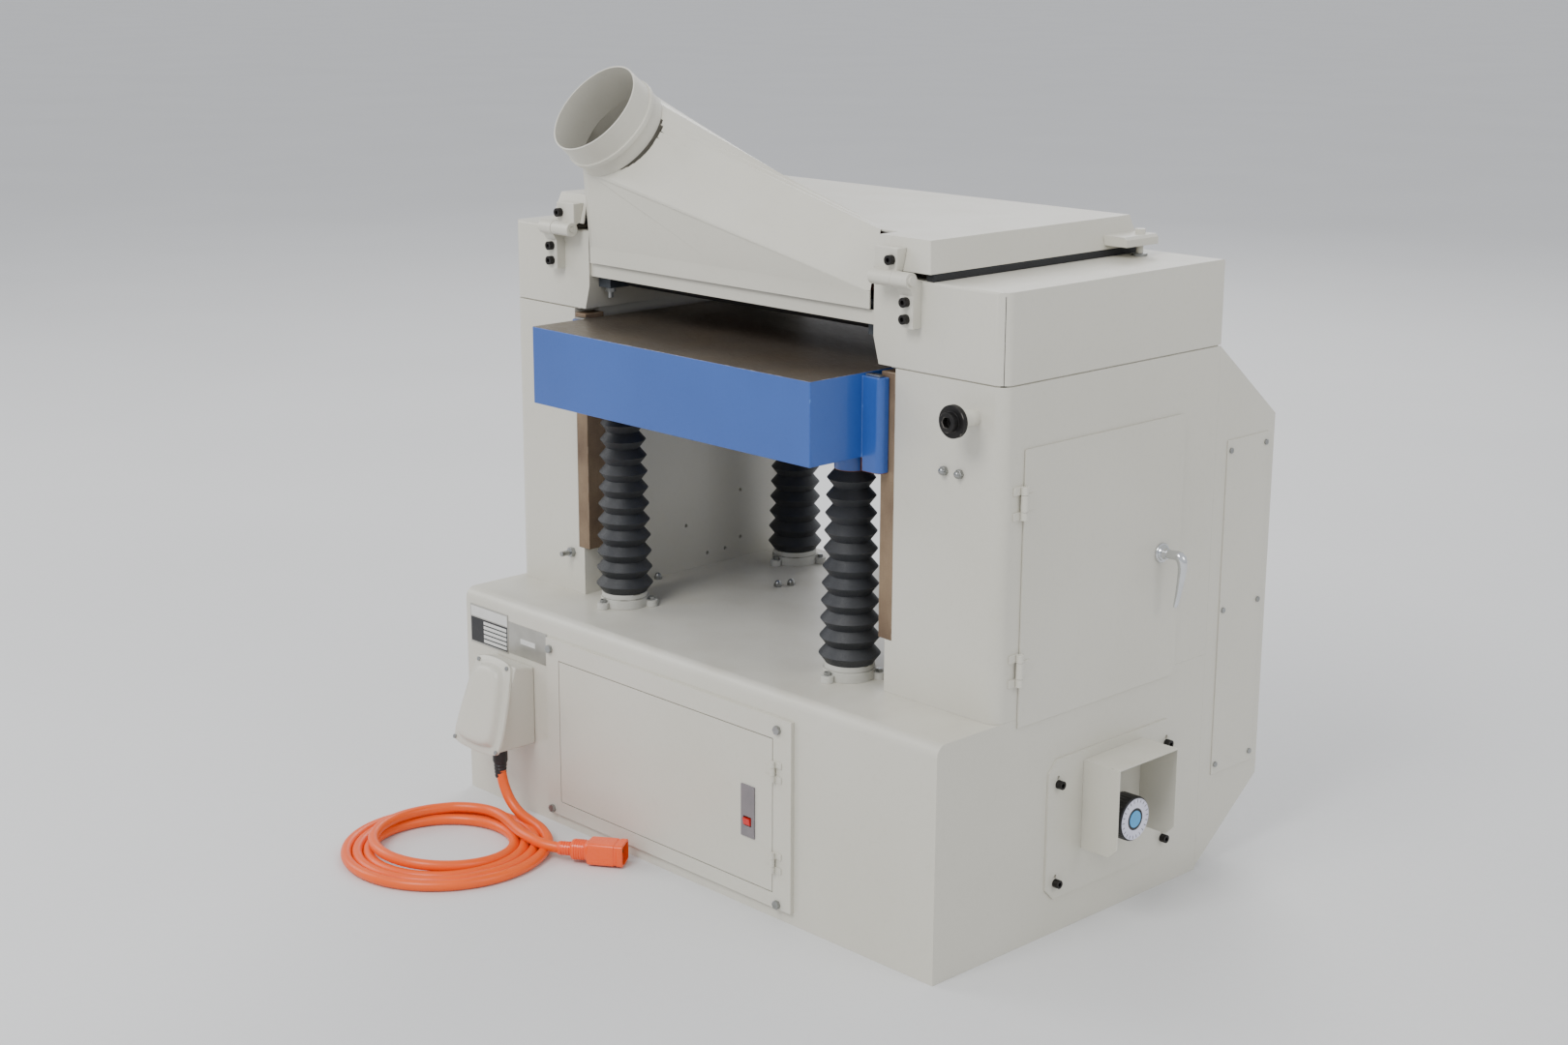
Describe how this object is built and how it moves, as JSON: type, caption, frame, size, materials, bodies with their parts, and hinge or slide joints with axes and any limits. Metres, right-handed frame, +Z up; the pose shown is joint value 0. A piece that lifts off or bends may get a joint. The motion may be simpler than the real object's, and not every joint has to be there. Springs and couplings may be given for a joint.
{
  "type": "drum sander",
  "caption": "Wide floor-standing drum sander: cabinet base, two columns with heads, rising table on four screws, hinged lid with a dust chute.",
  "frame": {"origin": "middle of the base cabinet's underside", "axes": "+Z up, +X along the drum to the drive side, -Y to the infeed side"},
  "size_m": [1.065, 1.07, 1.1378],
  "materials": {
    "paint": "satin",
    "blue_paint": "satin",
    "black_rubber": "matte",
    "black_steel": "oxide",
    "zinc": "zinc plated",
    "bright_steel": "machined",
    "ground_steel": "ground, oiled",
    "cast": "as cast",
    "motor_paint": "satin",
    "abrasive": "coarse",
    "bronze": "machined",
    "black_plastic": "satin",
    "red_plastic": "gloss",
    "label": "satin",
    "orange_rubber": "satin"
  },
  "bodies": {
    "machine": {"base_housing": "paint", "left_column": "paint", "right_column": "paint", "left_head": "paint", "right_head": "paint", "rear_beam": "paint", "front_deflector": "paint", "guide_bars": "ground_steel", "screw_flanges": "paint", "bellows_rings": "black_rubber", "zinc_bolts": "zinc", "cap_screws": "black_steel", "lid_gasket": "black_rubber", "hinge_brackets": "paint", "control_frame": "paint", "control_box": "paint", "contactors": "black_plastic", "rating_plates": "label", "junction_box": "paint", "junction_lid": "paint", "cord_gland": "black_rubber", "power_cord": "orange_rubber", "cord_coil": "orange_rubber", "power_plug": "orange_rubber", "speed_plate": "paint", "dial_hood": "paint", "rear_guard": "paint", "guard_panel": "paint", "door_hinges": "paint", "main_motor": "motor_paint", "drive_belts": "black_rubber", "feed_motor": "motor_paint", "shaft_bearings": "cast", "lift_chain": "black_steel", "bellows": "black_rubber"},
    "lid": {"lid_cover": "paint", "dust_chute": "paint", "dust_collar": "paint", "hinge_leaves": "paint", "lid_screws": "black_steel", "lid_handle": "black_plastic", "latch_ears": "paint"},
    "table": {"table_casting": "blue_paint", "gib_plates": "zinc", "lift_screws": "bright_steel"},
    "drum": {"sanding_drum": "bright_steel", "abrasive_wrap": "abrasive"},
    "infeed": {"infeed_roller": "black_rubber"},
    "outfeed": {"outfeed_roller": "black_rubber"},
    "nut_fl": {"lift_nut_fl": "bronze"},
    "nut_fr": {"lift_nut_fr": "bronze"},
    "nut_rl": {"lift_nut_rl": "bronze"},
    "nut_rr": {"lift_nut_rr": "bronze"},
    "crank_hub": {"height_hub": "zinc"},
    "door": {"service_door": "paint"},
    "handle": {"door_handle": "black_plastic"},
    "panel": {"control_door": "paint"},
    "rocker": {"switch_rocker": "red_plastic"},
    "knob": {"speed_knob": "black_plastic"},
    "motor_shaft": {"motor_pulley": "bright_steel"}
  },
  "joints": [
    {"name": "table_lift", "type": "slide", "parent": "machine", "child": "table", "axis": [0, 0, 1], "range_m": [-0.15, 0.025], "deforming": ["bellows"]},
    {"name": "lid_hinge", "type": "hinge", "parent": "machine", "child": "lid", "pos_m": [-0.02, -0.193, 0.898], "axis": [1, 0, 0], "range_deg": [0, 65]},
    {"name": "drum_spin", "type": "hinge", "parent": "machine", "child": "drum", "pos_m": [0, 0.04, 0.87], "axis": [1, 0, 0], "continuous": true},
    {"name": "motor_spin", "type": "hinge", "parent": "machine", "child": "motor_shaft", "pos_m": [0.33, 0.04, 0.112], "axis": [1, 0, 0], "continuous": true},
    {"name": "infeed_spin", "type": "hinge", "parent": "machine", "child": "infeed", "pos_m": [0, -0.11, 0.835], "axis": [1, 0, 0], "continuous": true},
    {"name": "outfeed_spin", "type": "hinge", "parent": "machine", "child": "outfeed", "pos_m": [0, 0.19, 0.835], "axis": [1, 0, 0], "continuous": true},
    {"name": "nut_fl_spin", "type": "hinge", "parent": "machine", "child": "nut_fl", "pos_m": [-0.261, -0.158, 0.3], "axis": [0, 0, 1], "continuous": true},
    {"name": "nut_fr_spin", "type": "hinge", "parent": "machine", "child": "nut_fr", "pos_m": [0.221, -0.158, 0.3], "axis": [0, 0, 1], "continuous": true},
    {"name": "nut_rl_spin", "type": "hinge", "parent": "machine", "child": "nut_rl", "pos_m": [-0.261, 0.203, 0.3], "axis": [0, 0, 1], "continuous": true},
    {"name": "nut_rr_spin", "type": "hinge", "parent": "machine", "child": "nut_rr", "pos_m": [0.221, 0.203, 0.3], "axis": [0, 0, 1], "continuous": true},
    {"name": "crank_spin", "type": "hinge", "parent": "machine", "child": "crank_hub", "pos_m": [0.452, -0.2, 0.733], "axis": [0, -1, 0], "continuous": true},
    {"name": "service_door_swing", "type": "hinge", "parent": "machine", "child": "door", "pos_m": [0.506, -0.133, 0.505], "axis": [0, 0, -1], "range_deg": [0, 110]},
    {"name": "door_handle_turn", "type": "hinge", "parent": "door", "child": "handle", "pos_m": [0.512, 0.163, 0.503], "axis": [1, 0, 0], "range_deg": [0, 90]},
    {"name": "control_door_swing", "type": "hinge", "parent": "machine", "child": "panel", "pos_m": [0.208, -0.292, 0.15], "axis": [0, 0, 1], "range_deg": [0, 110]},
    {"name": "switch_rock", "type": "hinge", "parent": "panel", "child": "rocker", "pos_m": [0.155, -0.28665, 0.131], "axis": [1, 0, 0], "range_deg": [-8, 8]},
    {"name": "speed_turn", "type": "hinge", "parent": "machine", "child": "knob", "pos_m": [0.52, 0.075, 0.148], "axis": [1, 0, 0], "range_deg": [0, 300]}
  ],
  "couplings": [
    {"joint": "motor_spin", "follows": "drum_spin", "ratio": 1.1667},
    {"joint": "outfeed_spin", "follows": "infeed_spin", "ratio": 1},
    {"joint": "nut_fl_spin", "follows": "table_lift", "rad_per_m": 628.32},
    {"joint": "nut_fr_spin", "follows": "table_lift", "rad_per_m": 628.32},
    {"joint": "nut_rl_spin", "follows": "table_lift", "rad_per_m": 628.32},
    {"joint": "nut_rr_spin", "follows": "table_lift", "rad_per_m": 628.32},
    {"joint": "crank_spin", "follows": "table_lift", "rad_per_m": 628.32}
  ]
}
